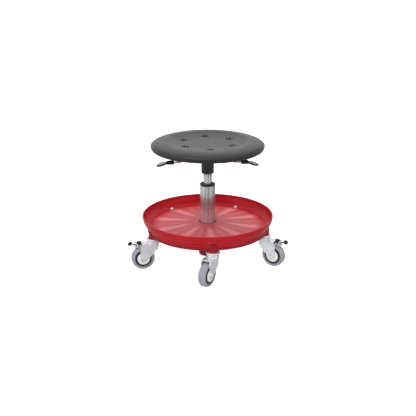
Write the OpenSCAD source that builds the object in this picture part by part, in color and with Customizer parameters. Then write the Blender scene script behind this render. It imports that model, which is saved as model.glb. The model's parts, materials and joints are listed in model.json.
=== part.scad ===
// Rolling workshop stool: a round foam seat on a gas lift, over a fluted tool tray on five swivel castors.
// Millimetres. The origin is on the floor on the column's axis, +Z up, the front castor towards -Y.

/* [Castors] */
// How far the castor bolts lie inside the tray's wall
castor_inset = 12; // [11:0.5:14]
// Diameter of a wheel
wheel_d = 75; // [65:1:85]
// Width of a tyre
tyre_w = 25; // [22:1:28]
// Distance from the swivel axis back to the axle
trail = 35; // [32:1:38]
// Gap from the top of the wheel up to the underside of the fork's crown
crown_gap = 8; // [7:0.5:12]
// Thickness of the fork's pressed steel
fork_sheet = 3; // [2:0.5:3.5]
// Radius of the swivel head
head_r = 22; // [21:0.5:24]
// Height of the swivel head's flange
head_h = 6.5; // [5.5:0.5:8]
// Height of the ball race that stands on the fork's crown
race_h = 8.5; // [8:0.5:11]
// Radius of the round end of a fork leg
leg_end_r = 10; // [9:0.5:12]
// Number of teeth round the face of a wheel rim
rim_teeth = 30; // [20:1:36]

/* [Brakes] */
// Diameter of a brake pedal cap
pedal_d = 15; // [13:0.5:16]
// Width of the brake lever's plate
brake_w = 20; // [16:1:22]
// Thickness of the brake lever's plate
brake_sheet = 2.5; // [2:0.5:3]

/* [Base] */
// How far the base's skirt stands inside the tray's wall
skirt_inset = 3; // [2.5:0.5:6]
// Height of the deck above the underside of the sockets
skirt_h = 17; // [15:1:20]
// Height of the skirt's bottom edge above the underside of the sockets
skirt_lift = 6; // [5:0.5:9]
// Wall of the base moulding
base_wall = 4; // [3:0.5:5]
// Radius of a castor socket
socket_r = 15; // [14:0.5:17]
// Outer radius of the hub round the column
hub_r = 29; // [28:0.5:32]
// How far the hub hangs below the sockets
hub_drop = 85; // [70:1:88]

/* [Tray] */
// Outer radius of the tray's wall at the step round its foot
tray_r = 201; // [180:0.5:220]
// Outward flare of the tray's wall from the step to the rim
tray_flare = 11; // [8:1:14]
// Radius of the wall's outward curve
wall_curve_r = 35; // [34:1:80]
// Height of the tray's rim above the base's deck
tray_h = 38; // [34:1:42]
// Height of the step round the wall's foot above the base's deck
step_h = 8.5; // [8:0.5:10]
// Thickness of the tray's wall
tray_wall = 3; // [2.5:0.5:4]
// Thickness of the tray's floor
floor_t = 4; // [3.5:0.5:4.5]
// Height of the floor above the base's deck, at the wall
floor_lift = 5; // [5:0.5:7]
// Rise of the floor from the wall to the column
floor_rise = 8.5; // [5:0.5:12]
// Radius of the hole round the column
tray_hole_r = 28.5; // [27:0.5:32]
// Number of flutes in the floor
flute_count = 20; // [10:5:20]
// Greatest depth of a flute
flute_depth = 2.2; // [1:0.1:2.6]

/* [Column and gas lift] */
// Outer radius of the column tube
column_r = 25; // [24:0.5:25.5]
// Length of the column tube
column_l = 236; // [230:1:260]
// Wall of the column tube
column_wall = 1.5; // [1:0.5:2]
// Outer radius of the gas cylinder
cylinder_r = 14; // [13:0.5:15]
// Radius of the piston rod
rod_r = 5; // [4:0.5:6]
// Cylinder that shows between the column and the cone, seat down
cylinder_show = 39.5; // [34:0.5:60]
// Height travel of the seat
lift_travel = 125; // [80:1:130]

/* [Seat mechanism] */
// Turn of the seat and its levers from the base's front
seat_heading = -3; // [-30:1:30]
// Height of the cone cover
cone_h = 49.5; // [40:0.5:55]
// Width of the mechanism pan, from lever to lever
pan_w = 130; // [120:1:140]
// Depth of the mechanism pan, front to back
pan_d = 80; // [76:1:90]
// Height of the mechanism pan's walls
pan_h = 14; // [14:0.5:18]
// Radius of a lever's rod
lever_r = 3.5; // [3:0.5:4]
// Reach of a lever's grip from the column's axis
lever_reach = 165; // [160:1:172]
// Radius of a grip's round paddle
paddle_r = 18.5; // [15:0.5:20]

/* [Seat] */
// Radius of the seat
seat_r = 181; // [170:1:190]
// Width of the seat's rounded shoulder, from the dish's crest to its edge
seat_shoulder_w = 33; // [20:1:40]
// Height of the seat's shoulder from its edge to the crest
seat_shoulder_h = 13.5; // [10:0.5:16]
// Height of the seat's lower curve, from its edge down to the underside
seat_under_h = 7; // [5:0.5:9]
// Depth of the dish in the seat's top
seat_dish = 10; // [4:0.5:12]
// How far the foam's middle hangs below its rim
seat_belly = 6; // [4:0.5:10]
// Radius of the seat board
board_r = 130; // [120:1:138]
// Thickness of the seat board
board_t = 8; // [6:1:12]
// Radius of the ring that the vent groups lie on
vent_ring_r = 85; // [75:1:95]
// Number of vent groups
vent_groups = 6; // [3:1:8]
// Turn of the vents from the levers
vent_heading = 4; // [-30:1:30]

/* [Hidden] */
PLACES = ["front", "right", "rear_right", "rear_left", "left"];
CASTOR_PIECES = ["fork", "axle", "guards", "rim", "tyre"];
BRAKED = ["left", "right"];
BRAKE_PIECES = ["lever", "pedals", "pin"];
castor_count = len(PLACES);

$fn = 96;
eps = 1;            // overrun of a cut past the face that it leaves
run_gap = 0.05;     // radial clearance of a running fit
seat_gap = 0.1;     // clearance between pieces that rest on each other
free_gap = 0.5;     // clearance between faces that turn past each other

// Castor: heights above the floor and reaches from the swivel axis
wheel_r = wheel_d / 2;
crown_z = wheel_d + crown_gap;
race_z = crown_z + fork_sheet;
head_z = race_z + race_h + free_gap;
castor_h = head_z + head_h;
castor_circle_r = tray_r - castor_inset;
swings = [-36, -16, 14, -12, -9];  // turn of each castor from pointing straight out, as PLACES names them
bolt_r = 4;
king_wall = 4;
king_r = bolt_r + king_wall;
king_flange_t = 2.5;
king_flange_r = king_r + king_wall / 2;
race_r = head_r - 3;
race_wall = 3;
ball_r = (head_z - race_z - seat_gap * 2) / 2;
fork_side_gap = 1.5;             // from the tyre's side to the fork's leg
leg_in = tyre_w / 2 + fork_side_gap;
fork_r = leg_in + fork_sheet;
fork_reach = trail + leg_end_r + eps;
back_drop = 10;                  // how far the fork's back wall comes down below the crown
brow_over = 3;                   // how far the crown reaches out past the axle
brow_u = trail + brow_over;
brow_drop = 8;                   // how far the legs' top edge falls from there to their outer edge
tangent_shares = [0.8, 0.6];     // the point on a leg's round end that its slanting edge meets

// Wheel
sleeve_r = 6;
axle_r = 4;
axle_head_r = 6.5;
axle_head_h = 4;
rim_half_w = tyre_w / 2 - 1.5;
rim_seat_share = 0.75;
rim_r = wheel_r * rim_seat_share;
rim_ring_t = rim_r / 4;
rim_hub_wall = 4;
rim_web_t = 7;
rim_flange_t = 1.2;
tooth_h = 2.6;
tooth_w_share = 0.45;
tyre_side_half_w = rim_half_w - rim_flange_t;
tread_corner_share = 0.56;
tread_corner_r = tyre_w / 2 * tread_corner_share;
tread_gauge = tread_corner_r + 1.5;
guard_r = rim_r - rim_ring_t - 1;
guard_t = 1.5;
guard_crown = 0.8;

// Brake, measured from the swivel axis outwards and from the floor
brake_pin_r = 2.5;
brake_eye_r = 4;
brake_pin_back = 19;             // from the axle back to the brake's pin
brake_pin_u = trail - brake_pin_back;
brake_over = 27;                 // from the axle out to the plate's bent end
brake_u = trail + brake_over;
brake_tyre_gap = 1.7;            // between the tyre's top and the plate, brake off
brake_plate_z = wheel_d + brake_tyre_gap;
brake_pin_z = brake_plate_z + brake_sheet - brake_eye_r;
shoe_drop = 8;                   // how far the bent end of the plate hangs below its top
shoe_in = 1.5;                   // and how far it leans back towards the tyre
pedal_r = pedal_d / 2;
pedal_h = 8;
pedal_edge_r = 2.5;
pedal_foot_r = 3;
pedal_gap = 1;                   // between the inner pedal and the front edge of the fork's crown
pedal_u = brow_u + pedal_gap + pedal_r;
pedal_top_gap = 8;               // from the pedal's top up to the underside of the sockets
pedal_finger_l = 8;
pedal_finger_r = 2;
outer_stem_lean = 17;
outer_stem_l = 21;
outer_pedal_lean = 35;

// Base and tray heights
base_z = castor_h;
deck_z = base_z + skirt_h;
hub_z = base_z - hub_drop;
skirt_z = base_z + skirt_lift;
skirt_r = tray_r - skirt_inset;
skirt_taper = 2;
lip_h = 3;
lip_out = 1.5;
hub_round_r = 6;
rib_t = 4;
rib_foot = 28;                   // height of a rib against the hub, below the deck
rib_reach = 95;
rib_clear = 1;                   // from the skirt's bottom edge up to the ribs
ring_rib_r = 112;
hub_fillet = 12;
tray_rim_z = deck_z + tray_h;
step_z = deck_z + step_h;
step_w = 2;
lip_r = tray_r - step_w;         // the wall's foot below the step, which stands on the base's deck
floor_edge_r = lip_r - tray_wall;
floor_slope = floor_rise / (floor_edge_r - tray_hole_r);
floor_angle = atan(floor_slope);
tray_fillet_r = 6;
wall_run = [tray_flare, tray_rim_z - step_z];
wall_mid = [tray_r + tray_flare / 2, (tray_rim_z + step_z) / 2];
wall_arc_share = 0.85;           // least radius of the wall's curve, as a share of the tray's height
wall_arc_r = max(wall_curve_r, tray_h * wall_arc_share);
wall_c = wall_mid + [-wall_run[1], wall_run[0]] / norm(wall_run)
    * sqrt(pow(wall_arc_r, 2) - pow(norm(wall_run) / 2, 2));
arc_steps = 12;
rim_bead_r = 2.4;
rim_out = 1.2;
clip_r = floor_edge_r - 1;       // the base's bosses stay inside the tray's lip
flute_in_share = 0.31;
flute_out_share = 0.89;
flute_w_share = 0.055;           // half width of a flute's wide end, as a share of its reach
flute_narrow_share = 0.17;       // narrow end over wide end
bolt_head_r = 6;
bolt_head_h = 4.2;
washer_r = 7;
washer_t = 1.6;
spot_depth = 1;
nut_r = 7.5;
nut_h = 6.5;
bolt_tail = 2;

// Column and lift
column_inset = 4;
column_z = hub_z + column_inset;
column_top = column_z + column_l;
taper_drop = 1;                  // how much narrower the column's foot is than its body
foot_t = 3;
column_in_r = column_r - column_wall;
bush_h = 82;
collar_h = 5.5;
collar_over = 0.5;               // how far the collar stands out past the column
collar_wall = 3;
collar_dip = 3;
bearing_t = 6;
bearing_r = 12;
bearing_wall = 1.5;
shoulder_r = 9;
shoulder_h = 5;
buffer_h = 10;
buffer_r = 11;
rod_tail = 3;
clip_t = 1.2;
clip_groove = 1;
clip_out_r = rod_r + 4;
piston_h = 10;
cylinder_wall = 1.8;
cylinder_cap = 12;
cone_z = column_top + cylinder_show;
ring_drop = 4.5;
ring_h = 3.5;
ring_out = 0.7;
pan_z = cone_z + cone_h;
cylinder_top = pan_z + 1;
pin_r = 3;
pin_l = 20;
cylinder_z = column_z + foot_t + bearing_t + shoulder_h + buffer_h + seat_gap * 4;
rod_top = cylinder_z + lift_travel + piston_h + cylinder_cap + eps * 8;

// Mechanism
pan_sheet = 2;
socket_wall = 3;
socket_down = cone_h - 6;
cone_low_r = 20.5;
cone_high_r = 23;
cone_edge_r = 3;
cone_wall = 1.4;
cone_straight_share = 0.68;
cone_lip = 2;
arm_z = pan_z + pan_sheet + lever_r + 3;
pivot_x = 38;
inner_x = 5;
finger_x = 20;
eye_wall = 2.5;
eye_w = 14;
ear_t = 2.5;
bend_swell = 0.3;
bend_out = 3;                    // from the pan's end out to the bend
bend_run = 20;                   // and along the slanting length of the rod
bend_x0 = pan_w / 2 + bend_out;
bend_x1 = bend_x0 + bend_run;
grip_rise = 35.5;
grip_z = cone_z + grip_rise;
notch_w = lever_r * 2 + 3;
grip_x = 107;
grip_wall = 3.5;
grip_r = lever_r + grip_wall;
grip_tail = 8;
paddle_t = 6;
paddle_droop = 16;
paddle_dish_r = 70;
paddle_dish_depth = 1.2;
plate_gap = 1;
plate_z = pan_z + pan_h + plate_gap;
plate_t = 3;
plate_over_w = 4;
plate_over_d = 20;
plate_w = pan_w + plate_over_w;
plate_d = pan_d + plate_over_d;
plate_front = -34;
tilt_pin_r = 3;
tilt_y = -28;
tilt_z = pan_z + pan_h - 5;
tilt_eye_r = 5.5;
tilt_eye_t = 4;
tilt_eye_in = 12;
tilt_eye_x = pan_w / 2 - tilt_eye_in;

// Seat
board_z = plate_z + plate_t;
foam_z = board_z + board_t;
edge_z = foam_z + seat_belly + seat_under_h;   // the height where the seat is widest
crest_z = edge_z + seat_shoulder_h;
crest_r = seat_r - seat_shoulder_w;
under_w = 10;
belly_out = 8;
belly_r = board_r + belly_out;
dish_steps = 16;
dish_power = 1.5;
vent_r = 1.6;
vent_depth = 7;
vent_spread = 8.5;
vent_holes = 5;
screw_r = 3;
screw_head_r = 5.5;
screw_head_h = 3.2;
screw_bite = 6;
screw_front = [20, -18];          // inside the pan, clear of the levers' ears and of the tilt pin
screw_in = 10;
screw_out = 13;
screw_back = [pan_w / 2 - screw_in, pan_d / 2 + screw_out];

red = "#b3202e";
black = "#242226";
chrome = "#c9ccd2";
zinc = "#d5d9de";
grey = "#9b9ca8";
cream = "#ece8da";
steel = "#8d9096";
foam_grey = "#55524f";

// Height of the tray floor's top at a distance from the axis
function floor_z(r) = deck_z + floor_lift + floor_slope * (floor_edge_r - r);

// Points along an arc in the upright section, the angles measured down from level
function arc(centre, radius, from, to) = oval(centre, [radius, radius], from, to);

// The same along an oval of the given half width and half height
function oval(centre, half, from, to) = [for (i = [0 : arc_steps]) let (a = from + (to - from) * i / arc_steps)
    centre + [half[0] * cos(a), -half[1] * sin(a)]];

// Height of the seat's dished top at a distance from its middle
function dish_z(r) = crest_z - seat_dish * pow(1 - pow(r / crest_r, 2), dish_power);

// Places copies round the axis, the first towards the front
module ring_of(count, radius) {
    for (i = [0 : count - 1]) rotate([0, 0, i * 360 / count]) translate([0, -radius, 0]) children();
}

// Moves a castor's piece from its own swivel axis to its place, pointing out from the column and swung
module at_castor(place) {
    i = search([place], PLACES)[0];
    rotate([0, 0, i * 360 / castor_count]) translate([0, -castor_circle_r, 0]) rotate([0, 0, swings[i]])
        children();
}

// Turns an outline drawn as distance and height so that distance runs out along -Y, and gives it a thickness
module side_plate(thickness) {
    rotate([90, 0, -90]) linear_extrude(height = thickness, center = true) children();
}

// A round bar between two points in the XZ plane
module bar(from, to, radius) {
    run = to - from;
    translate([from[0], 0, from[1]]) rotate([0, atan2(run[0], run[1]), 0]) cylinder(r = radius, h = norm(run));
}

module across(radius, length) {
    rotate([0, 90, 0]) cylinder(r = radius, h = length, center = true);
}

// Base and tray

// The room below the tray: up to its floor inside the wall's foot, and up to the step outside it
module under_tray() {
    rotate_extrude() polygon([
        [0, hub_z - eps], [tray_r + socket_r, hub_z - eps], [tray_r + socket_r, step_z - seat_gap],
        [lip_r + seat_gap, step_z - seat_gap], [lip_r + seat_gap, deck_z], [clip_r, deck_z],
        [clip_r, floor_z(clip_r) - floor_t - seat_gap], [0, floor_z(0) - floor_t - seat_gap]
    ]);
}

module base_rib(reach_z) {
    side_plate(rib_t) polygon([
        [hub_r - base_wall / 2, deck_z - base_wall / 2], [hub_r - base_wall / 2, deck_z - base_wall - rib_foot],
        [rib_reach, reach_z], [skirt_r - base_wall - skirt_taper / 2, reach_z],
        [skirt_r - base_wall - skirt_taper / 2, deck_z - base_wall / 2]
    ]);
}

module base_shell() {
    low_r = skirt_r - skirt_taper;
    rotate_extrude() {
        // deck and skirt
        polygon([
            [hub_r - base_wall, deck_z], [skirt_r, deck_z], [low_r, skirt_z + lip_h],
            [low_r + lip_out, skirt_z + lip_h - lip_out], [low_r + lip_out, skirt_z], [low_r - base_wall, skirt_z],
            [skirt_r - base_wall, deck_z - base_wall], [hub_r + hub_fillet, deck_z - base_wall],
            [hub_r, deck_z - base_wall - hub_fillet], [hub_r - base_wall, deck_z - base_wall - hub_fillet]
        ]);
        // hub, with its lower edge rounded
        translate([hub_r - hub_round_r, hub_z + hub_round_r]) circle(r = hub_round_r);
        translate([0, hub_z]) square([hub_r - hub_round_r, hub_round_r]);
        translate([0, hub_z + hub_round_r]) square([hub_r, deck_z - hub_z - hub_round_r]);
        // ring rib
        translate([ring_rib_r, skirt_z]) square([rib_t, deck_z - base_wall / 2 - skirt_z]);
    }
}

module base() {
    bore_top_r = column_r + seat_gap;
    bore_low_r = column_r - taper_drop + seat_gap;
    color(red) difference() {
        intersection() {
            union() {
                base_shell();
                for (i = [0 : castor_count * 2 - 1]) rotate([0, 0, i * 180 / castor_count])
                    base_rib(skirt_z + rib_clear);
                // sockets, and the collar round the column
                ring_of(castor_count, castor_circle_r) translate([0, 0, base_z])
                    cylinder(r = socket_r, h = skirt_h + tray_h);
                translate([0, 0, deck_z - base_wall / 2]) cylinder(r = hub_r + base_wall, h = tray_h);
            }
            under_tray();
        }
        // tapered bore for the column, straight above the deck
        translate([0, 0, column_z - seat_gap])
            cylinder(r1 = bore_low_r, r2 = bore_top_r, h = deck_z - column_z + seat_gap);
        translate([0, 0, deck_z]) cylinder(r = bore_top_r, h = tray_h);
        translate([0, 0, hub_z - eps]) cylinder(r = column_in_r - taper_drop, h = column_inset + eps * 2);
        ring_of(castor_count, castor_circle_r) translate([0, 0, base_z - eps])
            cylinder(r = bolt_r + seat_gap, h = tray_h + skirt_h);
    }
}

// Tray section: floor, curved wall and foot as one outline, with a round fillet where floor and wall meet
module tray_section() {
    in_curve_r = wall_arc_r - tray_wall;
    // centre of the fillet, a fillet's radius above the floor and inside the wall
    fillet_z = floor_z(floor_edge_r) + tray_fillet_r;
    fillet_r = wall_c[0] + sqrt(pow(in_curve_r - tray_fillet_r, 2) - pow(wall_c[1] - fillet_z, 2));
    fillet_angle = asin((wall_c[1] - fillet_z) / (in_curve_r - tray_fillet_r));
    polygon(concat(
        [[floor_edge_r, deck_z + seat_gap], [lip_r, deck_z + seat_gap], [lip_r, step_z]],
        arc(wall_c, wall_arc_r, asin((wall_c[1] - step_z) / wall_arc_r),
            asin((wall_c[1] - tray_rim_z) / wall_arc_r)),
        arc(wall_c, in_curve_r, asin((wall_c[1] - tray_rim_z) / in_curve_r), fillet_angle),
        arc([fillet_r, fillet_z], tray_fillet_r, fillet_angle + 1, 90 - floor_angle),
        [[tray_hole_r, floor_z(tray_hole_r)], [tray_hole_r, floor_z(tray_hole_r) - floor_t],
         [floor_edge_r, floor_z(floor_edge_r) - floor_t]]
    ));
    translate([tray_r + tray_flare - rim_bead_r + rim_out, tray_rim_z - rim_bead_r]) circle(r = rim_bead_r);
}

// One flute: a cone that lies along the floor and dips into it, deeper and wider outwards
module flute() {
    in_r = tray_r * flute_in_share;
    out_r = tray_r * flute_out_share;
    half_w = out_r * flute_w_share;
    out_cut = (half_w * half_w + flute_depth * flute_depth) / (2 * flute_depth);
    in_cut = out_cut * flute_narrow_share;
    in_depth = flute_depth * flute_narrow_share;
    low = [in_r, floor_z(in_r) - in_depth + in_cut];
    high = [out_r, floor_z(out_r) - flute_depth + out_cut];
    run = high - low;
    rotate([0, 0, -90]) translate([low[0], 0, low[1]]) rotate([0, atan2(run[0], run[1]), 0]) {
        cylinder(r1 = in_cut, r2 = out_cut, h = norm(run));
        translate([0, 0, norm(run)]) sphere(r = out_cut);
    }
}

module tool_tray() {
    color(red) difference() {
        rotate_extrude() tray_section();
        for (i = [0 : flute_count - 1]) rotate([0, 0, i * 360 / flute_count]) flute();
        ring_of(castor_count, castor_circle_r) {
            translate([0, 0, deck_z]) cylinder(r = bolt_r + seat_gap, h = tray_h);
            translate([0, 0, floor_z(castor_circle_r) - spot_depth]) cylinder(r = washer_r + free_gap, h = tray_h);
        }
    }
}

// Castor bolt: domed head on a washer in the tray floor, shank down through the swivel head
module castor_bolts() {
    top = floor_z(castor_circle_r) - spot_depth;
    tail_z = crown_z - king_flange_t - nut_h - bolt_tail;
    color(zinc) ring_of(castor_count, castor_circle_r) {
        translate([0, 0, tail_z]) cylinder(r = bolt_r, h = top - tail_z + washer_t);
        translate([0, 0, top]) cylinder(r = washer_r, h = washer_t);
        translate([0, 0, top + washer_t]) rotate_extrude() intersection() {
            translate([0, bolt_head_h - bolt_head_r]) circle(r = bolt_head_r);
            square([bolt_head_r, bolt_head_h]);
        }
    }
}

module castor_nuts() {
    color(zinc) ring_of(castor_count, castor_circle_r)
        translate([0, 0, crown_z - king_flange_t - free_gap - nut_h - seat_gap]) difference() {
            cylinder(r = nut_r, h = nut_h, $fn = 6);
            translate([0, 0, -eps]) cylinder(r = bolt_r + run_gap, h = nut_h + eps * 2);
        }
}

// Swivel head: flange under the socket, with the hollow king pin that is riveted under the fork's crown
module swivel_heads() {
    edge_r = head_h / 2;
    pin_z = crown_z - king_flange_t - free_gap;
    color(zinc) ring_of(castor_count, castor_circle_r) difference() {
        rotate_extrude() {
            translate([0, head_z]) square([head_r - edge_r, head_h]);
            translate([head_r - edge_r, head_z + edge_r]) circle(r = edge_r);
            translate([0, pin_z]) square([king_r, head_z - pin_z + edge_r]);
            translate([0, pin_z]) square([king_flange_r, king_flange_t]);
        }
        translate([0, 0, pin_z - eps]) cylinder(r = bolt_r + run_gap, h = castor_h);
    }
}

// Castor

module fork_plan(radius, reach) {
    circle(r = radius);
    translate([-radius, -reach]) square([radius * 2, reach]);
}

module fork_side() {
    polygon([
        [-fork_r - eps, race_z], [-fork_r - eps, crown_z - back_drop],
        [trail - leg_end_r * tangent_shares[0], wheel_r - leg_end_r * tangent_shares[1]],
        [trail + leg_end_r, wheel_r], [trail + leg_end_r, race_z - brow_drop], [brow_u, race_z]
    ]);
    translate([trail, wheel_r]) circle(r = leg_end_r);
}

module castor_fork() {
    color(zinc) difference() {
        union() {
            // back wall and legs, cut to the side outline
            intersection() {
                linear_extrude(height = race_z) difference() {
                    fork_plan(fork_r, fork_reach);
                    fork_plan(fork_r - fork_sheet, fork_reach + eps);
                }
                side_plate(fork_r * 2) fork_side();
            }
            // crown
            translate([0, 0, crown_z]) linear_extrude(height = fork_sheet) fork_plan(fork_r, brow_u);
            translate([0, 0, crown_z]) cylinder(r = race_r, h = fork_sheet);
            // ball race
            translate([0, 0, race_z]) difference() {
                cylinder(r = race_r, h = race_h);
                translate([0, 0, -eps]) cylinder(r = race_r - race_wall, h = race_h + eps * 2);
            }
        }
        cylinder(r = king_r + run_gap, h = castor_h);
        translate([0, -trail, wheel_r]) across(axle_r + run_gap, fork_r * 3);
    }
}

// A braked castor's fork has holes for the brake's pin
module castor_fork_for(place) {
    braked = len([for (p = BRAKED) if (p == place) p]) > 0;
    color(zinc) difference() {
        castor_fork();
        if (braked) translate([0, -brake_pin_u, brake_pin_z]) across(brake_pin_r + run_gap, fork_r * 3);
    }
}

module castor_axle() {
    translate([0, -trail, wheel_r]) rotate([0, 90, 0]) color(zinc) {
        // bolt
        translate([0, 0, -fork_r]) cylinder(r = axle_r, h = fork_r * 2 + axle_head_h + eps);
        translate([0, 0, -fork_r - axle_head_h]) rotate_extrude() {
            square([axle_head_r - axle_head_h / 2, axle_head_h]);
            translate([0, axle_head_h / 2]) square([axle_head_r, axle_head_h / 2]);
            intersection() {
                translate([axle_head_r - axle_head_h / 2, axle_head_h / 2]) circle(r = axle_head_h / 2);
                square([axle_head_r, axle_head_h]);
            }
        }
        // nut
        translate([0, 0, fork_r + seat_gap]) difference() {
            cylinder(r = axle_head_r + 1, h = axle_head_h, $fn = 6);
            translate([0, 0, -eps]) cylinder(r = axle_r + run_gap, h = axle_head_h + eps * 2);
        }
        // sleeve that the wheel turns on
        difference() {
            cylinder(r = sleeve_r, h = (leg_in - seat_gap) * 2, center = true);
            cylinder(r = axle_r + run_gap, h = leg_in * 2 + eps, center = true);
        }
    }
}

// Thread guard discs, slightly domed, one each side between rim and fork
module castor_guards() {
    translate([0, -trail, wheel_r]) color(cream) for (side = [-1, 1]) rotate([0, 90 * side, 0])
        translate([0, 0, leg_in - guard_t - seat_gap]) difference() {
            union() {
                translate([0, 0, 0]) cylinder(r = guard_r, h = guard_t - guard_crown);
                translate([0, 0, guard_t - guard_crown]) cylinder(r1 = guard_r, r2 = leg_end_r, h = guard_crown);
            }
            translate([0, 0, -eps]) cylinder(r = sleeve_r + run_gap, h = guard_t + eps * 2);
        }
}

module rim_face() {
    difference() {
        union() {
            circle(r = rim_r - tooth_h);
            for (i = [0 : rim_teeth - 1]) rotate(i * 360 / rim_teeth)
                translate([0, -rim_r * PI / rim_teeth * tooth_w_share])
                    square([rim_r, rim_r * 2 * PI / rim_teeth * tooth_w_share]);
        }
        circle(r = rim_r - rim_ring_t);
    }
}

module castor_rim() {
    hub_out_r = sleeve_r + rim_hub_wall;
    ring_in_r = rim_r - rim_ring_t;
    bed_r = rim_r - tooth_h;
    translate([0, -trail, wheel_r]) rotate([0, 90, 0]) color(black) difference() {
        union() {
            cylinder(r = hub_out_r, h = (leg_in - guard_t - seat_gap * 3) * 2, center = true);
            cylinder(r = bed_r, h = rim_web_t, center = true);
            difference() {
                cylinder(r = bed_r, h = tyre_side_half_w * 2, center = true);
                cylinder(r = ring_in_r, h = tyre_side_half_w * 3, center = true);
            }
            for (side = [-1, 1]) translate([0, 0, side * (tyre_side_half_w + rim_flange_t / 2)])
                linear_extrude(height = rim_flange_t, center = true) rim_face();
        }
        cylinder(r = sleeve_r + run_gap, h = tyre_w * 2, center = true);
    }
}

// Tyre: a bed between the rim's flanges, and a round-cornered tread that overhangs them
module tyre_section() {
    half_w = tyre_w / 2;
    bed_r = rim_r - tooth_h + run_gap;
    corner_mid = wheel_r - tread_corner_r;
    translate([bed_r, -tyre_side_half_w + run_gap])
        square([corner_mid - bed_r, (tyre_side_half_w - run_gap) * 2]);
    translate([wheel_r - tread_gauge, -half_w]) square([tread_gauge - tread_corner_r, tyre_w]);
    intersection() {
        translate([wheel_r - tread_gauge, -half_w]) square([tread_gauge, tyre_w]);
        union() {
            translate([corner_mid - tread_corner_r, -half_w + tread_corner_r])
                square([tread_corner_r * 2, tyre_w - tread_corner_r * 2]);
            for (side = [-1, 1]) translate([corner_mid, side * (half_w - tread_corner_r)])
                circle(r = tread_corner_r);
        }
    }
}

module castor_tyre() {
    translate([0, -trail, wheel_r]) rotate([0, 90, 0]) color(grey) rotate_extrude() tyre_section();
}

// Brakes

// Brake lever: a plate from its rolled eye out over the tyre, with its end bent down as the shoe
module brake_lever() {
    top_z = brake_plate_z + brake_sheet;
    knee_z = brake_plate_z - brake_sheet;
    color(zinc) difference() {
        union() {
            side_plate(brake_w) polygon([
                [brake_pin_u, brake_plate_z], [brake_u - brake_sheet * 2, brake_plate_z],
                [brake_u - brake_sheet, knee_z], [brake_u - shoe_in - brake_sheet, top_z - shoe_drop],
                [brake_u - shoe_in, top_z - shoe_drop], [brake_u, knee_z],
                [brake_u - brake_sheet / 2, top_z - brake_sheet / 2], [brake_u - brake_sheet, top_z],
                [brake_pin_u, top_z]
            ]);
            translate([0, -brake_pin_u, brake_pin_z]) across(brake_eye_r, brake_w);
        }
        translate([0, -brake_pin_u, brake_pin_z]) across(brake_pin_r + run_gap, brake_w * 2);
    }
}

module pedal_cap() {
    rotate_extrude() {
        square([pedal_r, pedal_h - pedal_edge_r]);
        square([pedal_r - pedal_edge_r, pedal_h]);
        intersection() {
            translate([pedal_r - pedal_edge_r, pedal_h - pedal_edge_r]) circle(r = pedal_edge_r);
            square([pedal_r, pedal_h]);
        }
    }
}

module brake_pedals() {
    foot_z = brake_plate_z + brake_sheet + seat_gap;
    cap_z = base_z - pedal_top_gap - pedal_h;
    stem_z = foot_z + pedal_foot_r;
    color(black) {
        // inner cap, its foot and its finger
        translate([0, -pedal_u, cap_z]) pedal_cap();
        translate([0, -pedal_u, foot_z]) cylinder(r = pedal_foot_r, h = cap_z - foot_z + pedal_edge_r);
        translate([0, -pedal_u, cap_z + pedal_h / 2]) rotate([90, 0, 0])
            cylinder(r = pedal_finger_r, h = pedal_r + pedal_finger_l);
        // outer cap on its slanting stem
        translate([0, -brake_u + pedal_foot_r * 2, stem_z]) rotate([90 - outer_stem_lean, 0, 0]) {
            cylinder(r = pedal_finger_r, h = outer_stem_l);
            translate([0, 0, outer_stem_l]) rotate([outer_stem_lean + outer_pedal_lean - 90, 0, 0])
                translate([0, 0, -pedal_h / 2]) pedal_cap();
        }
        translate([0, -brake_u + pedal_foot_r * 2, stem_z]) sphere(r = pedal_foot_r);
    }
}

module brake_pin() {
    color(zinc) translate([0, -brake_pin_u, brake_pin_z]) across(brake_pin_r, fork_r * 2 + fork_sheet / 2);
}

// Column and gas lift

module column_tube() {
    taper_h = deck_z - column_z;
    color(chrome) difference() {
        rotate_extrude() polygon([
            [rod_r + free_gap, column_z], [column_r - taper_drop, column_z], [column_r, column_z + taper_h],
            [column_r, column_top - column_wall / 2], [column_r - column_wall / 2, column_top],
            [column_in_r, column_top], [column_in_r, column_z + taper_h],
            [column_in_r - taper_drop, column_z + foot_t], [rod_r + free_gap, column_z + foot_t]
        ]);
    }
}

module guide_bush() {
    low_z = column_top - bush_h;
    top_z = column_top + collar_h;
    out_r = column_r + collar_over;
    color(black) rotate_extrude() {
        difference() {
            translate([cylinder_r + run_gap, low_z])
                square([column_in_r - run_gap - cylinder_r - run_gap, bush_h + collar_h]);
            translate([cylinder_r + collar_wall, top_z]) circle(r = collar_dip);
        }
        translate([cylinder_r + collar_wall + collar_dip, column_top + seat_gap])
            square([out_r - cylinder_r - collar_wall - collar_dip - collar_h / 2, collar_h - seat_gap]);
        translate([out_r - collar_h / 2, column_top + collar_h / 2 + seat_gap / 2])
            circle(r = (collar_h - seat_gap) / 2);
    }
}

module thrust_bearing() {
    low_z = column_z + foot_t + seat_gap;
    mid_r = (bearing_r + rod_r) / 2;
    color(steel) {
        for (z = [low_z, low_z + bearing_t - bearing_wall]) translate([0, 0, z]) difference() {
            cylinder(r = bearing_r, h = bearing_wall);
            translate([0, 0, -eps]) cylinder(r = rod_r + run_gap * 2, h = bearing_wall + eps * 2);
        }
        // cage with the balls as one ring
        translate([0, 0, low_z + bearing_wall]) difference() {
            cylinder(r = mid_r + bearing_wall, h = bearing_t - bearing_wall * 2);
            translate([0, 0, -eps]) cylinder(r = mid_r - bearing_wall, h = bearing_t);
        }
    }
}

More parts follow.
